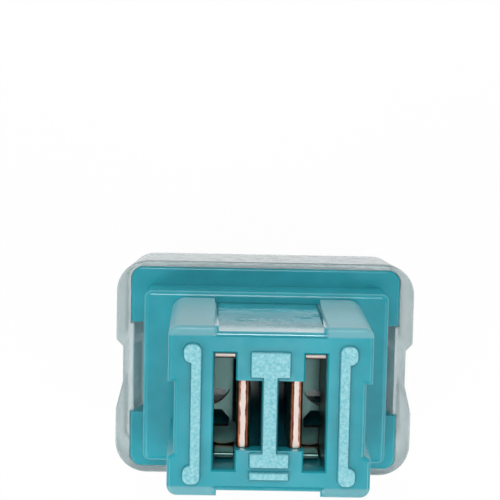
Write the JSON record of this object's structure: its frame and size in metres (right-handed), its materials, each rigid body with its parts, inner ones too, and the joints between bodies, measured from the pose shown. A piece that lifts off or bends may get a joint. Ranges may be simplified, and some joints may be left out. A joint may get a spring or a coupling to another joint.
{
  "type": "low-profile j-case fuse",
  "caption": "Small plug-in box fuse: blue moulded housing with two tab mouths, clear clip-on cap with a frosted face, and a folded copper element with a thin link.",
  "frame": {"origin": "centre of the cap face's outline, on the surface that the fuse rests on", "axes": "+Z from the cap face to the terminal mouths, X along the long side, +Y towards the first number on the cap face"},
  "size_m": [0.0152, 0.011, 0.0168],
  "materials": {
    "housing": "moulded, part glossy and part fine textured",
    "cap": "clear moulded, frosted on the face panel",
    "fuse_element": "bright rolled copper alloy"
  },
  "bodies": {
    "root": {"housing": "housing", "cap": "cap", "fuse_element": "fuse_element"}
  },
  "joints": []
}
